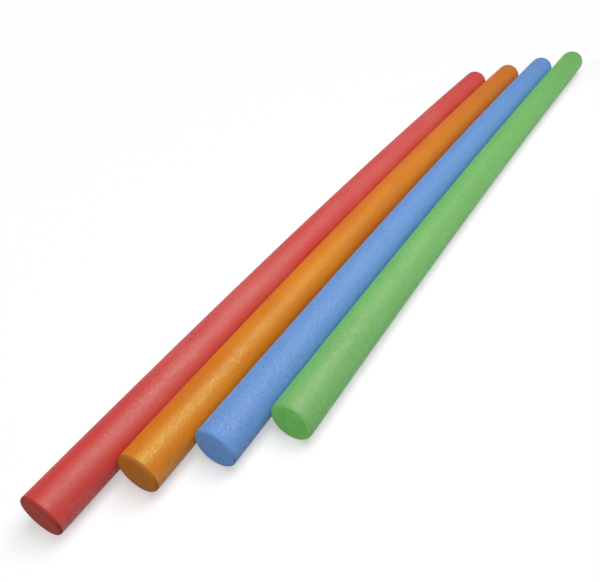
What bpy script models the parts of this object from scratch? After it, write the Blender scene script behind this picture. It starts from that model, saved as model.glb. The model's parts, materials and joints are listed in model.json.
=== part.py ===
"""A set of foam pool noodles, lying side by side on the ground.

Metres, +Z up, the ground at z = 0. The noodles lie along +X, the red one at +Y and the green one
at -Y. Each is one length of solid foam, cut square at both ends, with nothing inside it.
"""

import math

import bpy
from mathutils import Vector

# Driving dimensions of the noodles
LENGTH = 1.600
DIAMETER = 0.065
RIM_ROUND = 0.0045
LEAST_GAP = 0.0006

# How the noodles lie, from the red one on, each at the -Y side of the one before:
# length_share  its own length, as a share of LENGTH
# push_share    how far its near end lies past the red one's, as a share of DIAMETER
# bow_share     how far its middle bows towards +Y, as a share of LENGTH
# turn          how far it is turned from +X, in degrees
NOODLES = (
    {"name": "red_noodle", "length_share": 1.0, "push_share": 0.0, "bow_share": 0.0086, "turn": 0.0,
     "colour": (0.56, 0.055, 0.045, 1.0)},
    {"name": "orange_noodle", "length_share": 0.991, "push_share": 1.54, "bow_share": 0.0089,
     "turn": -0.32, "colour": (0.66, 0.21, 0.02, 1.0)},
    {"name": "blue_noodle", "length_share": 1.0, "push_share": 2.73, "bow_share": 0.0056,
     "turn": -0.65, "colour": (0.13, 0.30, 0.68, 1.0)},
    {"name": "green_noodle", "length_share": 1.0, "push_share": 4.0, "bow_share": 0.0041,
     "turn": -0.87, "colour": (0.15, 0.47, 0.13, 1.0)},
)

SET_NAME = "pool_noodle_set"
FOAM_ROUGHNESS = 0.5

# Counts
SIDES = 32
LENGTHWISE_STEPS = 16
RIM_STEPS = 4
GAP_SAMPLES = 60

RADIUS = DIAMETER / 2
# A facet faces the ground, so a noodle rests on a flat strip and its axis lies this high.
AXIS_HEIGHT = RADIUS * math.cos(math.pi / SIDES)


def clear_scene():
    """Empty the file, whatever it was opened with."""
    for obj in list(bpy.data.objects):
        bpy.data.objects.remove(obj, do_unlink=True)


def foam_material(name, colour):
    """Dyed closed-cell foam with a satin skin."""
    material = bpy.data.materials.new(name)
    material.use_nodes = True
    shader = material.node_tree.nodes["Principled BSDF"]
    shader.inputs["Base Color"].default_value = colour
    shader.inputs["Roughness"].default_value = FOAM_ROUGHNESS
    shader.inputs["Metallic"].default_value = 0.0
    material.diffuse_color = colour
    return material


def own_length(noodle):
    return LENGTH * noodle["length_share"]


def arc_point(noodle, along):
    """A point of the centreline, `along` from its middle, before the noodle is turned and placed."""
    length = own_length(noodle)
    bend = 8 * LENGTH * noodle["bow_share"] / length**2
    if not bend:
        return Vector((along, 0, 0))
    angle = bend * along
    return Vector((math.sin(angle) / bend, (math.cos(angle) - 1) / bend, 0))


def turned_point(noodle, along):
    """The same point once the noodle is turned, with its middle still at the origin."""
    turn = math.radians(noodle["turn"])
    x, y, _ = arc_point(noodle, along)
    return x * math.cos(turn) - y * math.sin(turn), x * math.sin(turn) + y * math.cos(turn)


def side_line(noodle, middle_x):
    """The turned centreline as (x, y) pairs, with its middle at `middle_x`."""
    half = own_length(noodle) / 2
    line = []
    for i in range(GAP_SAMPLES + 1):
        x, y = turned_point(noodle, half * (2 * i / GAP_SAMPLES - 1))
        line.append((middle_x + x, y))
    return line


def y_and_slope(line, x):
    """The line's y at `x` and its slope there, or None beyond its ends."""
    for (x0, y0), (x1, y1) in zip(line, line[1:]):
        if x0 <= x <= x1:
            slope = (y1 - y0) / (x1 - x0)
            return y0 + slope * (x - x0), slope
    return None


def beside(line, neighbour, apart):
    """The y that puts `line` on the -Y side of `neighbour`, nowhere nearer to it than `apart`."""
    lowest = None
    for x, y in line:
        found = y_and_slope(neighbour, x)
        if found:
            neighbour_y, slope = found
            place = neighbour_y - apart * math.hypot(1, slope) - y
            lowest = place if lowest is None else min(lowest, place)
    return 0 if lowest is None else lowest


def lay_out():
    """Each noodle's middle, seen from above, from the red one on."""
    near_x = -LENGTH / 2
    places, before = [], None
    for noodle in NOODLES:
        middle_x = near_x + DIAMETER * noodle["push_share"] + own_length(noodle) / 2
        line = side_line(noodle, middle_x)
        middle_y = 0
        if before:
            middle_y = beside(line, before, DIAMETER + LEAST_GAP)
        before = [(x, y + middle_y) for x, y in line]
        places.append((middle_x, middle_y))
    return places


def stations(length):
    """Places along a noodle from its middle, each with the tube's radius there as a share."""
    half = length / 2
    rim_share = RIM_ROUND / RADIUS
    near_end = []
    for i in range(RIM_STEPS + 1):
        angle = math.pi / 2 * i / RIM_STEPS
        inset = RIM_ROUND * (1 - math.cos(angle))
        near_end.append((inset - half, 1 - rim_share * (1 - math.sin(angle))))
    body = half - RIM_ROUND
    middle = [(body * (2 * i / LENGTHWISE_STEPS - 1), 1.0) for i in range(1, LENGTHWISE_STEPS)]
    far_end = [(-along, share) for along, share in reversed(near_end)]
    return near_end + middle + far_end


def make_noodle(noodle, place, collection, parent):
    """One noodle: a round bar swept along its own slight bow, with rounded rims at both ends."""
    steps = stations(own_length(noodle))
    curve = bpy.data.curves.new(noodle["name"], "CURVE")
    curve.dimensions = "3D"
    curve.bevel_mode = "ROUND"
    curve.bevel_depth = RADIUS
    curve.bevel_resolution = SIDES // 2 - 2
    curve.use_fill_caps = True
    curve.twist_mode = "Z_UP"
    spline = curve.splines.new("POLY")
    spline.points.add(len(steps) - 1)
    spline.use_smooth = True
    for point, (along, share) in zip(spline.points, steps):
        point.co = (*arc_point(noodle, along), 1.0)
        point.radius = share
        point.tilt = math.pi / SIDES
    obj = bpy.data.objects.new(noodle["name"], curve)
    obj.location = (*place, AXIS_HEIGHT)
    obj.rotation_euler.z = math.radians(noodle["turn"])
    obj.parent = parent
    curve.materials.append(foam_material(noodle["name"] + "_foam", noodle["colour"]))
    collection.objects.link(obj)
    return obj


def centre_over(parent, pieces):
    """Move the parent so that the origin is under the middle of the whole set."""
    bpy.context.view_layer.update()
    depsgraph = bpy.context.evaluated_depsgraph_get()
    points = []
    for piece in pieces:
        shown = piece.evaluated_get(depsgraph)
        mesh = shown.to_mesh()
        points += [shown.matrix_world @ vertex.co for vertex in mesh.vertices]
        shown.to_mesh_clear()
    xs = [point.x for point in points]
    ys = [point.y for point in points]
    parent.location = (-(min(xs) + max(xs)) / 2, -(min(ys) + max(ys)) / 2, 0)
    bpy.context.view_layer.update()


def main():
    clear_scene()
    collection = bpy.data.collections.new(SET_NAME)
    bpy.context.scene.collection.children.link(collection)
    parent = bpy.data.objects.new(SET_NAME, None)
    parent.empty_display_size = DIAMETER
    collection.objects.link(parent)
    pieces = [
        make_noodle(noodle, place, collection, parent)
        for noodle, place in zip(NOODLES, lay_out())
    ]
    centre_over(parent, pieces)


main()
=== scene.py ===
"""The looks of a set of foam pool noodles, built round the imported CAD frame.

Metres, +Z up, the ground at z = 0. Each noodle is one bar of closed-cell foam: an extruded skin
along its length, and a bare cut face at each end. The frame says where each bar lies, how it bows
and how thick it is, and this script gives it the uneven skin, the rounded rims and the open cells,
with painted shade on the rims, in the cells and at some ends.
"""

import json
import math

import bpy
from mathutils import Matrix, Vector, noise


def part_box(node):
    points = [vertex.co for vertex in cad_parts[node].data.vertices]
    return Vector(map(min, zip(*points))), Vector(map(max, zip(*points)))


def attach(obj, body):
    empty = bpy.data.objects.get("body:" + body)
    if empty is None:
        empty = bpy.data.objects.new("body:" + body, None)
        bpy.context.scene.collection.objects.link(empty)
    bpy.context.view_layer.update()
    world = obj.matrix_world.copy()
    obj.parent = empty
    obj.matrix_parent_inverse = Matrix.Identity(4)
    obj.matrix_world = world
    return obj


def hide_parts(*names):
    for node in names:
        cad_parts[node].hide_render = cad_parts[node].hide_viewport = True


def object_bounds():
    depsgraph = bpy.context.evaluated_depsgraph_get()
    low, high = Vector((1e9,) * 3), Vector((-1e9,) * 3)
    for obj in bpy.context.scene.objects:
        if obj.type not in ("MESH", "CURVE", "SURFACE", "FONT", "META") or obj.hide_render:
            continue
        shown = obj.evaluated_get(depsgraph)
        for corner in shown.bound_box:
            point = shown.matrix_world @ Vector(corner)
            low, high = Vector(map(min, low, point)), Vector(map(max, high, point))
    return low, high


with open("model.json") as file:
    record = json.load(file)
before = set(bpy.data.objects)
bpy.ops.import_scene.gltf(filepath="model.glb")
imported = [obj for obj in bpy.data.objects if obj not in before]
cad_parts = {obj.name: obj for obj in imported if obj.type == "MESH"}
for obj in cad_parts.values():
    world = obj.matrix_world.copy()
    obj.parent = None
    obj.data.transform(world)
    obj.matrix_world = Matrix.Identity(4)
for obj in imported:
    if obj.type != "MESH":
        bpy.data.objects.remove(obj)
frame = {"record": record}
cad_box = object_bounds()

# The CAD bar has this many facets, one of them flat on the ground.
CAD_SIDES = 32

# The mesh of a noodle
SIDES = 96
RING_STEP = 0.004
RIM_ROUND = 0.0045
RIM_STEPS = 8
FACE_RINGS = 12
RIM_ATTRIBUTE = "rim"

# How uneven the skin is: the size of the lumps and the depth of the hollows between them
SKIN_LUMPS = (
    {"size": 0.070, "depth": 0.00022},
    {"size": 0.018, "depth": 0.00010},
    {"size": 0.009, "depth": 0.00005},
)
# The same for the cut face, which a blade left a little wavy
CUT_LUMPS = (
    {"size": 0.022, "depth": 0.00030},
    {"size": 0.006, "depth": 0.00012},
)

# The noodles, with linear colours:
# base, pale, deep  the skin's colour, that of its high spots, and that of its darker clouds, also
# painted at some ends as shade
# painted_shade_near         how far from the near end the skin is painted deep as shade, in metres, fading out to there
# painted_shade_far          the same painted shade at the far end, where it doesn't get quite as deep
# cut               the cut face's own colour, with painted light and shade in it that make the ends brighter from red to green
# pressed           how light the cut foam is painted where it bends over the rim, as a share of cut: painted shade on the rim
# bare              how far over the rim the cut foam reaches, as a share of the rim
# roughness         the skin's roughness between its high and low spots
# sparkle           how much duller the low spots are, and how much smoother the high ones
# gloss             how strongly the skin mirrors, where 0.5 is ordinary plastic
# gloss_tint        the colour of what it mirrors straight on
# sheen, sheen_tint the strength and colour of its sheen, which lightens the sides
# grain             the size of its pebbles, in metres
# relief            how high they stand, in metres
# dimples           the share of broader dimples in them
# mottle            how far the high spots take on the pale colour
# wrinkle           how strong the crosswise wrinkles are
# lean              how far the wrinkles slant from square across, in degrees
NOODLES = (
    {
        "name": "red_noodle",
        "base": (0.575, 0.06, 0.042),
        "pale": (0.61, 0.11, 0.09),
        "deep": (0.56, 0.021, 0.012),
        "cut": (0.45, 0.047, 0.033),
        "painted_rim_shade": 0.72,
        "bare": 1.0,
        "painted_shade_near": 0.26,
        "painted_shade_far": 0.0,
        "roughness": 0.5,
        "gloss": 1.0,
        "gloss_tint": (0.3, 1.0, 1.0),
        "sheen": 0.38,
        "sheen_tint": (1.0, 0.04, 0.06),
        "sparkle": 0.205,
        "relief": 0.00056,
        "dimples": 0.25,
        "mottle": 0.35,
        "grain": 0.0016,
        "wrinkle": 0.35,
        "lean": 10.0,
    },
    {
        "name": "orange_noodle",
        "base": (0.625, 0.18, 0.001),
        "pale": (0.69, 0.244, 0.006),
        "deep": (0.55, 0.13, 0.001),
        "cut": (0.56, 0.183, 0.016),
        "painted_rim_shade": 0.72,
        "bare": 1.0,
        "painted_shade_near": 0.0,
        "painted_shade_far": 1.0,
        "roughness": 0.42,
        "gloss": 1.0,
        "gloss_tint": (0.45, 1.0, 0.48),
        "sheen": 0.55,
        "sheen_tint": (1.0, 0.23, 0.0),
        "sparkle": 0.16,
        "relief": 0.00056,
        "dimples": 0.35,
        "mottle": 0.3,
        "grain": 0.0016,
        "wrinkle": 0.9,
        "lean": 35.0,
    },
    {
        "name": "blue_noodle",
        "base": (0.085, 0.239, 0.57),
        "pale": (0.182, 0.341, 0.645),
        "deep": (0.068, 0.225, 0.575),
        "cut": (0.185, 0.395, 0.86),
        "painted_rim_shade": 0.72,
        "bare": 0.9,
        "painted_shade_near": 0.0,
        "painted_shade_far": 0.0,
        "roughness": 0.51,
        "gloss": 0.68,
        "gloss_tint": (1.0, 0.64, 0.1),
        "sheen": 0.68,
        "sheen_tint": (0.2, 0.45, 1.0),
        "sparkle": 0.2,
        "relief": 0.00062,
        "dimples": 0.1,
        "mottle": 0.85,
        "grain": 0.0015,
        "wrinkle": 0.45,
        "lean": 20.0,
    },
    {
        "name": "green_noodle",
        "base": (0.152, 0.397, 0.1),
        "pale": (0.233, 0.45, 0.168),
        "deep": (0.13, 0.36, 0.08),
        "cut": (0.235, 0.725, 0.15),
        "painted_rim_shade": 1.0,
        "bare": 0.3,
        "painted_shade_near": 0.0,
        "painted_shade_far": 0.0,
        "roughness": 0.48,
        "gloss": 0.72,
        "gloss_tint": (1.0, 0.5, 1.0),
        "sheen": 0.42,
        "sheen_tint": (0.1, 1.0, 0.1),
        "sparkle": 0.15,
        "relief": 0.00056,
        "dimples": 0.3,
        "mottle": 0.6,
        "grain": 0.0018,
        "wrinkle": 0.7,
        "lean": 5.0,
    },
)

# About where a noodle's ends lie from its middle, for the painted shade there, and how far that
# painted shade takes over at the far one
HALF_LENGTH = 0.8
FAR_PAINTED_SHADE_SHARE = 0.8

# The skin's patterns. A scale is in features per metre along the noodle, across it and upwards,
# and a stretch is the same as a share of the pebbles' own scale. A range is the part of a pattern's
# values that is spread out from 0 to 1, and a share is how strongly it counts.
CLOUD_SCALE = (7.0, 22.0, 22.0)
CLOUD_RANGE = (0.3, 0.7)
DRAW_LINE_SCALE = (5.0, 210.0, 210.0)
DRAW_LINE_RANGE = (0.45, 0.75)
DRAW_LINE_SHARE = 0.12
PEBBLE_RANGE = (0.3, 0.7)
WRINKLE_STRETCH = (1.0, 0.34, 0.34)
WRINKLE_RANGE = (0.36, 0.66)
WRINKLE_SHARE = 0.6
DIMPLE_STRETCH = (0.36, 0.2, 0.2)
DIMPLE_RANGE = (0.3, 0.7)
# How high the relief of pebbles and wrinkles reaches, and how much the dimples add to that
RELIEF_TOP = 0.9
DIMPLE_TOP = 0.7
# From which height the pale colour comes in, how far below the top it is full, and from which
# height the skin gets smoother
MOTTLE_START = 0.3
MOTTLE_END_BELOW_TOP = 0.1
SPARKLE_START = 0.2
# Where the skin's colour takes over from the cut's, as shares of the rim
SKIN_RIM_RANGE = (0.2, 0.65)
SHEEN_ROUGHNESS = 0.6
SKIN_BUMP = 0.5

# The cut face's patterns, written in the same way. The dark is a share of the face's own colour,
# used for its clouds and as painted shade in its opened cells.
CUT_DARK = 0.82
CUT_CLOUD_SCALE = (90.0, 90.0, 90.0)
CUT_CLOUD_RANGE = (0.35, 0.65)
CUT_CLOUD_SHARE = 0.6
BLADE_SCALE = (120.0, 60.0, 420.0)
CELL_SCALE = (750.0, 750.0, 750.0)
CELL_RANGE = (0.25, 0.8)
CELL_SHARE = 0.7
# Painted shade in the opened cells: the relief over which it comes in, and how strong it is
CELL_PAINTED_SHADE_RANGE = (0.2, 0.6)
CELL_PAINTED_SHADE_SHARE = 0.5
CUT_RIM_RANGE = (0.0, 0.7)
CUT_ROUGHNESS_RANGE = (0.2, 0.8)
CUT_ROUGHNESS = (0.9, 0.7)
CUT_GLOSS = 0.3
CUT_RELIEF = 0.0005
CUT_BUMP = 0.6

# How far apart the noodles' unevenness is read, so that no two are alike
SEED_STEP = (3.7, 1.3, 2.1)

# The camera, in the frame's metres and degrees
CAMERA_PLACE = (-1.0704, -0.4092, 0.6432)
CAMERA_YAW = 35.022
CAMERA_PITCH = 37.507
CAMERA_ROLL = -5.992
CAMERA_LENS = 35.095
SENSOR = 36.0

# The studio
FLOOR_RADIUS = 60.0
FLOOR_CORNERS = 96
# The floor's colour where it only lights the noodles, and where it is looked at or mirrored
FLOOR_COLOUR_LIGHTING = (0.15, 0.15, 0.15)
FLOOR_COLOUR_SEEN = (0.95, 0.95, 0.95)
FLOOR_ROUGHNESS = 0.9
FLOOR_GLOSS = 0.1
# The floor's share of its own white, close by the noodles and away from them, and how wide the
# band between the two is. It keeps the noodles' shadow where it is only partly white by itself.
GLOW_NEAR = 0.42
GLOW_AWAY = 0.98
GLOW_BAND = 0.22
# Where the floor's white starts to fall off towards the backdrop's grey, and where it is done
FADE_START = 5.0
FADE_END = 28.0
WORLD_HORIZON = 0.45
WORLD_ZENITH = 0.05
WHITE = (1.0, 1.0, 1.0, 1.0)
LAMPS = (
    {
        "name": "overhead_softbox",
        "place": (0.05, -0.4, 2.1),
        "aim": (0.05, 0.0, 0.0),
        "size": (2.0, 1.6),
        "power": 54.0,
    },
    {
        "name": "front_fill",
        "place": (-2.6, -0.6, 1.2),
        "aim": (-0.7, 0.0, 0.0),
        "size": (1.0, 1.0),
        "power": 17.0,
    },
)


def record_mount(name):
    """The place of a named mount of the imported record."""
    for mount in frame["record"]["mounts"]:
        if mount["name"] == name:
            return Vector(mount["pos_m"])
    raise ValueError(f"the record has no mount named {name}")


class Bar:
    """The arc that one noodle's middle line follows, from its near end to its far one."""

    def __init__(self, name):
        colour = name.split("_")[0]
        low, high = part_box(name)
        self.axis_height = (high.z - low.z) / 2
        self.radius = self.axis_height / math.cos(math.pi / CAD_SIDES)
        near = record_mount(colour + "_near_end").xy
        far = record_mount(colour + "_far_end").xy
        self.middle = record_mount(colour + "_underside").xy
        half_chord = (far - near).length / 2
        rise = self.middle - (near + far) / 2
        self.arc_radius = (half_chord**2 + rise.length**2) / (2 * rise.length)
        self.forward = (far - near).normalized()
        self.side = rise.normalized()
        self.half_angle = math.asin(half_chord / self.arc_radius)
        self.length = 2 * self.half_angle * self.arc_radius

    def frame_at(self, along):
        """The point `along` from the middle, in the bar's own space, and the direction there."""
        angle = along / self.arc_radius
        sine, cosine = math.sin(angle), math.cos(angle)
        point = (self.forward * sine + self.side * (cosine - 1)) * self.arc_radius
        forward = self.forward * cosine - self.side * sine
        return point, forward

    def place(self, along, radius, angle):
        """A point of the bar's surface in its own space, whose origin is its middle."""
        point, forward = self.frame_at(along)
        left = Vector((-forward.y, forward.x))
        out = left * (math.cos(angle) * radius)
        return Vector((point.x + out.x, point.y + out.y, math.sin(angle) * radius))


def hollow(place, lumps):
    """How far the surface lies below its highest lumps, at a place given in metres."""
    depth = 0
    for lump in lumps:
        height = noise.noise(place / lump["size"])
        depth += lump["depth"] * (0.5 - 0.5 * height)
    return depth


def profile(bar):
    """Rings from the near face's middle to the far face's: (along, radius, share of skin)."""
    half = bar.length / 2
    inner = bar.radius - RIM_ROUND
    rings = [(-half, inner * i / FACE_RINGS, 0.0) for i in range(1, FACE_RINGS)]
    for i in range(RIM_STEPS + 1):
        angle = math.pi / 2 * i / RIM_STEPS
        along = -half + RIM_ROUND * (1 - math.cos(angle))
        rings.append((along, inner + RIM_ROUND * math.sin(angle), i / RIM_STEPS))
    first = RIM_ROUND - half
    steps = round(-2 * first / RING_STEP)
    body = [(first * (1 - 2 * i / steps), bar.radius, 1.0) for i in range(1, steps)]
    return rings + body + [(-along, radius, skin) for along, radius, skin in reversed(rings)]


def surface_point(bar, along, radius, skin, angle, seed):
    """One vertex, sunk into the bar by its unevenness and kept above the ground."""
    straight = Vector((along, radius * math.cos(angle), radius * math.sin(angle))) + seed
    sunk = hollow(straight, SKIN_LUMPS) * skin
    pushed = hollow(straight, CUT_LUMPS) * (1 - skin)
    point = bar.place(along - math.copysign(pushed, along), radius - sunk, angle)
    point.z = max(point.z, -bar.axis_height)
    return point


def noodle_mesh(bar, name, seed, bare):
    """The whole bar as one closed skin, faces on its cut ends in the second material slot."""
    rings = profile(bar)
    half = bar.length / 2
    vertices = [surface_point(bar, -half, 0.0, 0.0, 0.0, seed)]
    for along, radius, skin in rings:
        for j in range(SIDES):
            angle = 2 * math.pi * (j + 0.5) / SIDES - math.pi / 2
            vertices.append(surface_point(bar, along, radius, skin, angle, seed))
    vertices.append(surface_point(bar, half, 0.0, 0.0, 0.0, seed))
    last = len(vertices) - 1
    faces, on_cut = [], []
    for j in range(SIDES):
        k = (j + 1) % SIDES
        faces.append((0, 1 + k, 1 + j))
        on_cut.append(True)
    for i in range(len(rings) - 1):
        here, there = 1 + i * SIDES, 1 + (i + 1) * SIDES
        cut = (rings[i][2] + rings[i + 1][2]) / 2 < bare
        for j in range(SIDES):
            k = (j + 1) % SIDES
            faces.append((here + j, here + k, there + k, there + j))
            on_cut.append(cut)
    here = 1 + (len(rings) - 1) * SIDES
    for j in range(SIDES):
        k = (j + 1) % SIDES
        faces.append((here + j, here + k, last))
        on_cut.append(True)
    mesh = bpy.data.meshes.new(name)
    mesh.from_pydata(vertices, [], faces)
    mesh.polygons.foreach_set("material_index", [int(cut) for cut in on_cut])
    mesh.polygons.foreach_set("use_smooth", [True] * len(faces))
    rim = [0.0] + [ring[2] for ring in rings for _ in range(SIDES)] + [0.0]
    mesh.attributes.new(RIM_ATTRIBUTE, "FLOAT", "POINT").data.foreach_set("value", rim)
    mesh.update()
    return mesh


def math_node(tree, operation, *values):
    """A Math node's output, from numbers and other outputs."""
    node = tree.nodes.new("ShaderNodeMath")
    node.operation = operation
    for socket, value in zip(node.inputs, values):
        if isinstance(value, (int, float)):
            socket.default_value = value
        else:
            tree.links.new(value, socket)
    return node.outputs["Value"]


def spread_node(tree, value, low, high, to_low=0.0, to_high=1.0):
    """The value's stretch from low to high, taken smoothly to to_low and to_high and held there."""
    node = tree.nodes.new("ShaderNodeMapRange")
    node.interpolation_type = "SMOOTHSTEP"
    tree.links.new(value, node.inputs["Value"])
    node.inputs["From Min"].default_value = low
    node.inputs["From Max"].default_value = high
    node.inputs["To Min"].default_value = to_low
    node.inputs["To Max"].default_value = to_high
    return node.outputs["Result"]


def blend_node(tree, share, first, second):
    """A colour between two, each a colour or another node's output."""
    node = tree.nodes.new("ShaderNodeMix")
    node.data_type = "RGBA"
    tree.links.new(share, node.inputs["Factor"])
    for name, value in (("A", first), ("B", second)):
        socket = next(s for s in node.inputs if s.name == name and s.type == "RGBA")
        if isinstance(value, tuple):
            socket.default_value = (*value, 1.0)
        else:
            tree.links.new(value, socket)
    return next(s for s in node.outputs if s.type == "RGBA")


def length_node(tree, vector):
    """The length of a vector."""
    node = tree.nodes.new("ShaderNodeVectorMath")
    node.operation = "LENGTH"
    tree.links.new(vector, node.inputs[0])
    return node.outputs["Value"]


def split_node(tree, vector):
    """The X, Y and Z of a vector, by those names."""
    node = tree.nodes.new("ShaderNodeSeparateXYZ")
    tree.links.new(vector, node.inputs["Vector"])
    return node.outputs


class NodeSheet:
    """A noodle's material, with short calls for the few kinds of node used in it."""

    def __init__(self, name):
        self.material = bpy.data.materials.new(name)
        self.material.use_nodes = True
        self.tree = self.material.node_tree
        self.shader = self.tree.nodes["Principled BSDF"]
        self.coordinate = self.tree.nodes.new("ShaderNodeTexCoord").outputs["Object"]

    def stretched(self, scale, turn=0.0):
        """Object coordinates scaled by three numbers per metre, turned about the vertical."""
        turned = self.tree.nodes.new("ShaderNodeVectorRotate")
        turned.rotation_type = "Z_AXIS"
        turned.inputs["Angle"].default_value = math.radians(turn)
        self.tree.links.new(self.coordinate, turned.inputs["Vector"])
        scaled = self.tree.nodes.new("ShaderNodeVectorMath")
        scaled.operation = "MULTIPLY"
        self.tree.links.new(turned.outputs["Vector"], scaled.inputs[0])
        scaled.inputs[1].default_value = scale
        return scaled.outputs["Vector"]

    def along(self):
        """Metres along the noodle from its middle."""
        return split_node(self.tree, self.coordinate)["X"]

    def noise(self, vector, detail=2.0, roughness=0.5, distortion=0.0):
        """A smooth random pattern with about one feature to a unit of the vector."""
        texture = self.tree.nodes.new("ShaderNodeTexNoise")
        self.tree.links.new(vector, texture.inputs["Vector"])
        texture.inputs["Scale"].default_value = 1.0
        texture.inputs["Detail"].default_value = detail
        texture.inputs["Roughness"].default_value = roughness
        texture.inputs["Distortion"].default_value = distortion
        return texture.outputs["Fac"]

    def cells(self, vector):
        """Distance to the middle of the nearest cell, from 0 there to about 1 between cells."""
        texture = self.tree.nodes.new("ShaderNodeTexVoronoi")
        self.tree.links.new(vector, texture.inputs["Vector"])
        texture.inputs["Scale"].default_value = 1.0
        return texture.outputs["Distance"]

    def over_rim(self, low, high):
        """0 on the cut face and 1 on the skin, changing over from low to high of the rim."""
        found = self.tree.nodes.new("ShaderNodeAttribute")
        found.attribute_name = RIM_ATTRIBUTE
        return self.spread(found.outputs["Fac"], low, high)

    def spread(self, value, *ends):
        """As spread_node, whose low, high, to_low and to_high the ends are."""
        return spread_node(self.tree, value, *ends)

    def blend(self, share, first, second):
        return blend_node(self.tree, share, first, second)

    def weighted(self, first, first_share, second, second_share):
        """first * first_share + second * second_share"""
        scaled = math_node(self.tree, "MULTIPLY", first, first_share)
        return math_node(self.tree, "MULTIPLY_ADD", second, second_share, scaled)

    def colour(self, tint):
        self.tree.links.new(tint, self.shader.inputs["Base Color"])

    def roughness(self, amount):
        self.tree.links.new(amount, self.shader.inputs["Roughness"])

    def bump(self, height, distance, strength):
        """Fine relief, from a height of 0 to 1 that stands for the distance in metres."""
        bumped = self.tree.nodes.new("ShaderNodeBump")
        bumped.inputs["Distance"].default_value = distance
        bumped.inputs["Strength"].default_value = strength
        self.tree.links.new(height, bumped.inputs["Height"])
        self.tree.links.new(bumped.outputs["Normal"], self.shader.inputs["Normal"])


def skin_relief(sheet, noodle):
    """The height of the skin's pebbles, wrinkles and dimples, and the highest that it gets."""
    per_metre = 1 / noodle["grain"]
    pebble_scale = (per_metre, per_metre, per_metre)
    wrinkle_scale = tuple(per_metre * part for part in WRINKLE_STRETCH)
    dimple_scale = tuple(per_metre * part for part in DIMPLE_STRETCH)
    lean = noodle["lean"]
    pebbles = sheet.noise(sheet.stretched(pebble_scale), detail=3.0, roughness=0.6)
    wrinkles = sheet.noise(sheet.stretched(wrinkle_scale, lean), detail=2.0, distortion=0.5)
    dimples = sheet.noise(sheet.stretched(dimple_scale, lean), detail=1.0)
    pebbled = sheet.spread(pebbles, *PEBBLE_RANGE)
    wrinkled = sheet.spread(wrinkles, *WRINKLE_RANGE)
    dimpled = sheet.spread(dimples, *DIMPLE_RANGE)
    wrinkle_share = WRINKLE_SHARE * noodle["wrinkle"]
    fine = sheet.weighted(pebbled, 1 - wrinkle_share, wrinkled, wrinkle_share)
    relief = sheet.weighted(fine, 1.0, dimpled, noodle["dimples"])
    return relief, RELIEF_TOP + DIMPLE_TOP * noodle["dimples"]


def skin_tint(sheet, noodle, relief, top):
    """The skin's colour: cloudy, faintly lined, paler on high spots, and painted deeper at some ends
    as shade.
    """
    base, pale, deep = noodle["base"], noodle["pale"], noodle["deep"]
    clouds = sheet.noise(sheet.stretched(CLOUD_SCALE), detail=3.0)
    draw_lines = sheet.noise(sheet.stretched(DRAW_LINE_SCALE), detail=2.0)
    tint = sheet.blend(sheet.spread(clouds, *CLOUD_RANGE), deep, base)
    lined = sheet.spread(draw_lines, *DRAW_LINE_RANGE, 0.0, DRAW_LINE_SHARE)
    tint = sheet.blend(lined, tint, pale)
    high_end = top - MOTTLE_END_BELOW_TOP
    high_spots = sheet.spread(relief, MOTTLE_START, high_end, 0.0, noodle["mottle"])
    tint = sheet.blend(high_spots, tint, pale)
    # painted shade: the deep colour laid over the near end
    if noodle["painted_shade_near"]:
        past_near = sheet.spread(sheet.along(), -HALF_LENGTH, noodle["painted_shade_near"] - HALF_LENGTH)
        tint = sheet.blend(past_near, deep, tint)
    # painted shade: the deep colour laid over the far part
    if noodle["painted_shade_far"]:
        start = HALF_LENGTH - noodle["painted_shade_far"]
        towards_far = sheet.spread(sheet.along(), start, HALF_LENGTH, 0.0, FAR_PAINTED_SHADE_SHARE)
        tint = sheet.blend(towards_far, tint, deep)
    return sheet.blend(sheet.over_rim(*SKIN_RIM_RANGE), noodle["cut"], tint)


def skin_material(noodle):
    """The extruded skin: pebbled, with fine wrinkles across it and faint draw lines along it."""
    sheet = NodeSheet(noodle["name"] + "_skin")
    relief, top = skin_relief(sheet, noodle)
    sheet.colour(skin_tint(sheet, noodle, relief, top))
    dull = noodle["roughness"] + noodle["sparkle"]
    polished = noodle["roughness"] - noodle["sparkle"]
    sheet.roughness(sheet.spread(relief, SPARKLE_START, top, dull, polished))
    sheet.shader.inputs["Specular IOR Level"].default_value = noodle["gloss"]
    sheet.shader.inputs["Specular Tint"].default_value = (*noodle["gloss_tint"], 1.0)
    sheet.shader.inputs["Sheen Weight"].default_value = noodle["sheen"]
    sheet.shader.inputs["Sheen Roughness"].default_value = SHEEN_ROUGHNESS
    sheet.shader.inputs["Sheen Tint"].default_value = (*noodle["sheen_tint"], 1.0)
    sheet.bump(relief, noodle["relief"], SKIN_BUMP)
    return sheet.material


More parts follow.
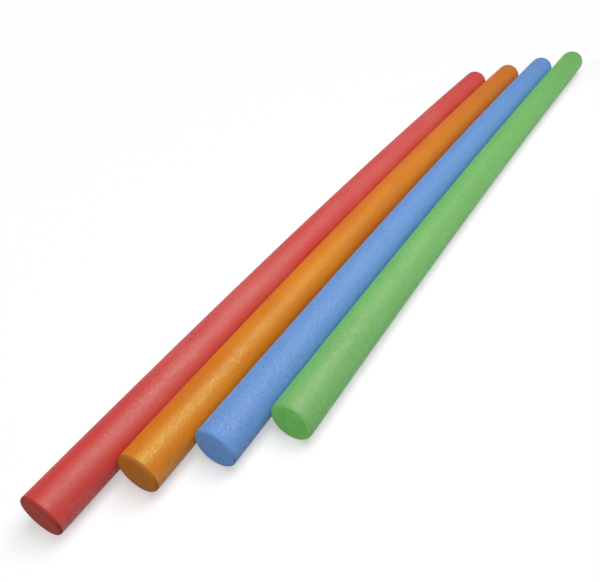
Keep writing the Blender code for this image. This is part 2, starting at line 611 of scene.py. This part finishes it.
def cut_material(noodle):
    """The bare cut face: opened cells with painted shade in them, the faint lines that the blade
    left, and painted shade on the rim.
    """
    sheet = NodeSheet(noodle["name"] + "_cut")
    # The cut colour holds painted light and shade as well as the foam's own colour.
    light = noodle["cut"]
    dark = tuple(part * CUT_DARK for part in light)
    # painted shade on the rim, where the cut foam bends over it
    painted_rim_shade = tuple(part * noodle["painted_rim_shade"] for part in light)
    clouds = sheet.noise(sheet.stretched(CUT_CLOUD_SCALE), detail=3.0)
    blade = sheet.noise(sheet.stretched(BLADE_SCALE), detail=1.0)
    opened = sheet.spread(sheet.cells(sheet.stretched(CELL_SCALE)), *CELL_RANGE)
    relief = sheet.weighted(opened, CELL_SHARE, blade, 1 - CELL_SHARE)
    clouded = sheet.spread(clouds, *CUT_CLOUD_RANGE, 0.0, CUT_CLOUD_SHARE)
    tint = sheet.blend(clouded, light, dark)
    # painted shade in the opened cells, darkest where they are deepest
    shaded_pits = sheet.spread(relief, *CELL_PAINTED_SHADE_RANGE, CELL_PAINTED_SHADE_SHARE, 0.0)
    tint = sheet.blend(shaded_pits, tint, dark)
    sheet.colour(sheet.blend(sheet.over_rim(*CUT_RIM_RANGE), tint, painted_rim_shade))
    sheet.roughness(sheet.spread(relief, *CUT_ROUGHNESS_RANGE, *CUT_ROUGHNESS))
    sheet.shader.inputs["Specular IOR Level"].default_value = CUT_GLOSS
    sheet.bump(relief, CUT_RELIEF, CUT_BUMP)
    return sheet.material


def make_noodle(number, noodle):
    """One dressed noodle, in place of its CAD node and riding on its body."""
    name = noodle["name"]
    bar = Bar(name)
    seed = Vector([number * step for step in SEED_STEP])
    mesh = noodle_mesh(bar, name + "_foam", seed, noodle["bare"])
    mesh.materials.append(skin_material(noodle))
    mesh.materials.append(cut_material(noodle))
    piece = bpy.data.objects.new(name + "_foam", mesh)
    piece.location = (*bar.middle, bar.axis_height)
    bpy.context.scene.collection.objects.link(piece)
    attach(piece, name)
    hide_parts(name)


def seen_directly(tree):
    """1 for rays from the camera, a mirror or glass, and 0 for those that light the object."""
    path = tree.nodes.new("ShaderNodeLightPath")
    seen = path.outputs["Is Camera Ray"]
    for other in ("Is Glossy Ray", "Is Transmission Ray"):
        seen = math_node(tree, "MAXIMUM", seen, path.outputs[other])
    return seen


def away_from_noodles(tree):
    """GLOW_NEAR under the noodles, and GLOW_AWAY beyond a band round the slanted box they lie in."""
    low, high = cad_box
    half_row = (high.y - low.y) / 2
    # The row is staggered: the red side lies this much nearer than its middle, the green side beyond.
    reach = high.x - (record_mount("red_far_end").x + record_mount("green_far_end").x) / 2
    half_length = high.x - reach
    position = tree.nodes.new("ShaderNodeNewGeometry").outputs["Position"]
    split = split_node(tree, position)
    x, y = split["X"], split["Y"]
    slant = math_node(tree, "MULTIPLY_ADD", y, reach / half_row, x)
    past_end = math_node(tree, "SUBTRACT", math_node(tree, "ABSOLUTE", slant), half_length)
    past_side = math_node(tree, "SUBTRACT", math_node(tree, "ABSOLUTE", y), half_row)
    apart = tree.nodes.new("ShaderNodeCombineXYZ")
    tree.links.new(math_node(tree, "MAXIMUM", past_end, 0.0), apart.inputs["X"])
    tree.links.new(math_node(tree, "MAXIMUM", past_side, 0.0), apart.inputs["Y"])
    distance = length_node(tree, apart.outputs["Vector"])
    return spread_node(tree, distance, 0.0, GLOW_BAND, GLOW_NEAR, GLOW_AWAY)


def faded_away(tree):
    """1 on the floor round the noodles, falling far away to what the backdrop is at the horizon."""
    distance = length_node(tree, tree.nodes.new("ShaderNodeNewGeometry").outputs["Position"])
    return spread_node(tree, distance, FADE_START, FADE_END, 1.0, WORLD_HORIZON)


def make_floor():
    """A pale floor that is partly its own white when looked at, so that it keeps a soft shadow."""
    turns = [2 * math.pi * i / FLOOR_CORNERS for i in range(FLOOR_CORNERS)]
    corners = [(FLOOR_RADIUS * math.cos(a), FLOOR_RADIUS * math.sin(a), 0) for a in turns]
    mesh = bpy.data.meshes.new("floor")
    mesh.from_pydata(corners, [], [tuple(range(FLOOR_CORNERS))])
    floor = bpy.data.objects.new("floor", mesh)
    bpy.context.scene.collection.objects.link(floor)
    material = bpy.data.materials.new("floor")
    material.use_nodes = True
    tree = material.node_tree
    shader = tree.nodes["Principled BSDF"]
    seen = seen_directly(tree)
    tint = blend_node(tree, seen, FLOOR_COLOUR_LIGHTING, FLOOR_COLOUR_SEEN)
    tree.links.new(tint, shader.inputs["Base Color"])
    shader.inputs["Roughness"].default_value = FLOOR_ROUGHNESS
    shader.inputs["Specular IOR Level"].default_value = FLOOR_GLOSS
    glow = tree.nodes.new("ShaderNodeEmission")
    glow.inputs["Color"].default_value = WHITE
    tree.links.new(faded_away(tree), glow.inputs["Strength"])
    share = math_node(tree, "MULTIPLY", seen, away_from_noodles(tree))
    mixed = tree.nodes.new("ShaderNodeMixShader")
    tree.links.new(share, mixed.inputs["Fac"])
    tree.links.new(shader.outputs["BSDF"], mixed.inputs[1])
    tree.links.new(glow.outputs["Emission"], mixed.inputs[2])
    tree.links.new(mixed.outputs["Shader"], tree.nodes["Material Output"].inputs["Surface"])
    mesh.materials.append(material)


def make_world():
    """A pale backdrop all round, darker upwards, where the softbox does the lighting."""
    world = bpy.data.worlds.new("studio")
    world.use_nodes = True
    tree = world.node_tree
    background = tree.nodes["Background"]
    background.inputs["Color"].default_value = WHITE
    direction = tree.nodes.new("ShaderNodeTexCoord").outputs["Generated"]
    strength = tree.nodes.new("ShaderNodeMapRange")
    tree.links.new(split_node(tree, direction)["Z"], strength.inputs["Value"])
    strength.inputs["To Min"].default_value = WORLD_HORIZON
    strength.inputs["To Max"].default_value = WORLD_ZENITH
    tree.links.new(strength.outputs["Result"], background.inputs["Strength"])
    bpy.context.scene.world = world


def make_lamp(lamp):
    """A rectangular softbox that faces the place it is aimed at."""
    data = bpy.data.lights.new(lamp["name"], "AREA")
    data.shape = "RECTANGLE"
    data.size, data.size_y = lamp["size"]
    data.energy = lamp["power"]
    obj = bpy.data.objects.new(lamp["name"], data)
    obj.location = lamp["place"]
    aim = Vector(lamp["aim"]) - Vector(lamp["place"])
    obj.rotation_euler = aim.to_track_quat("-Z", "Y").to_euler()
    bpy.context.scene.collection.objects.link(obj)


def make_camera():
    """The camera from its yaw from +X, its pitch below the horizon, and its roll."""
    yaw, pitch, roll = (math.radians(a) for a in (CAMERA_YAW, CAMERA_PITCH, CAMERA_ROLL))
    ahead = Vector((
        math.cos(pitch) * math.cos(yaw),
        math.cos(pitch) * math.sin(yaw),
        -math.sin(pitch),
    ))
    right = Vector((math.sin(yaw), -math.cos(yaw), 0))
    up = right.cross(ahead)
    rolled_right = right * math.cos(roll) + up * math.sin(roll)
    rolled_up = up * math.cos(roll) - right * math.sin(roll)
    turn = Matrix((rolled_right, rolled_up, -ahead)).transposed()
    data = bpy.data.cameras.new("camera")
    data.lens = CAMERA_LENS
    data.sensor_width = SENSOR
    camera = bpy.data.objects.new("camera", data)
    camera.matrix_world = Matrix.Translation(CAMERA_PLACE) @ turn.to_4x4()
    bpy.context.scene.collection.objects.link(camera)
    bpy.context.scene.camera = camera


make_camera()
for number, noodle in enumerate(NOODLES):
    make_noodle(number, noodle)
make_floor()
make_world()
for lamp in LAMPS:
    make_lamp(lamp)
bpy.context.scene.view_settings.view_transform = "Standard"
